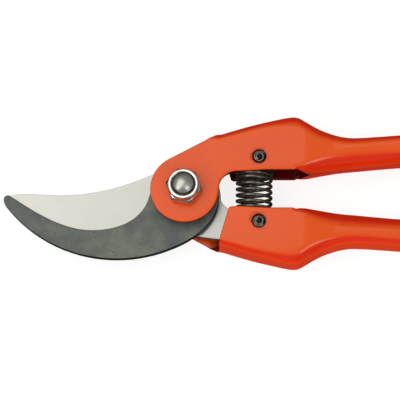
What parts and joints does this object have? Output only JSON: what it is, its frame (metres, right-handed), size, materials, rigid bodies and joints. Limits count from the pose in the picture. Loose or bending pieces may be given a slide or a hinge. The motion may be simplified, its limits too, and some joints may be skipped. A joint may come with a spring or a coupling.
{
  "type": "bypass pruner",
  "caption": "Hand-held bypass pruner: two sprung pressed-steel handles on a bolted pivot carry a curved cutting blade and a hooked counter blade, with a swinging catch at the butt.",
  "frame": {"origin": "on the pivot axis, at the centre of the bolt head's outer face, on which the tool lies", "axes": "+X from the pivot towards the handle ends, +Y towards the upper handle, +Z along the pivot bolt from its head to its nut"},
  "size_m": [0.2197, 0.0608, 0.0331],
  "materials": {
    "handle_paint": "gloss enamel",
    "blade_steel": "satin ground",
    "hook_steel": "blackened",
    "zinc_plate": "bright plated",
    "insert_plastic": "matte",
    "pin_steel": "oiled spring steel",
    "inner_steel": "plain",
    "spring_steel": "black drawn wire",
    "plug_plastic": "moulded",
    "catch_steel": "dull plated"
  },
  "bodies": {
    "lower_half": {"lower_handle": "handle_paint", "cutting_blade": "blade_steel", "pivot_bolt": "zinc_plate", "pivot_bush": "inner_steel", "pivot_nut": "zinc_plate", "pivot_washer_far": "inner_steel", "nut_insert": "insert_plastic", "lower_pin": "pin_steel", "lower_spacer_near": "inner_steel", "lower_spacer_far": "inner_steel", "lower_spring_seat": "inner_steel", "spring": "spring_steel", "lower_plug": "plug_plastic", "catch_rivet": "catch_steel", "catch_washer": "catch_steel"},
    "upper_half": {"upper_handle": "handle_paint", "counter_blade": "hook_steel", "pivot_washer_near": "inner_steel", "upper_pin": "pin_steel", "upper_spacer_near": "inner_steel", "upper_spacer_far": "inner_steel", "upper_spring_seat": "inner_steel", "upper_plug": "plug_plastic", "catch_stud": "catch_steel"},
    "catch": {"catch_hook": "catch_steel"}
  },
  "joints": [
    {"name": "handle_pivot", "type": "hinge", "parent": "lower_half", "child": "upper_half", "pos_m": [0, 0, 0.013], "axis": [0, 0, 1], "range_deg": [0, 34], "stiffness_Nm_per_rad": 1.6, "springref_deg": 40.11, "deforming": ["spring"]},
    {"name": "catch_swing", "type": "hinge", "parent": "lower_half", "child": "catch", "pos_m": [0.133, -0.0183, 0.0233], "axis": [0, 0, -1], "range_deg": [0, 89]}
  ]
}
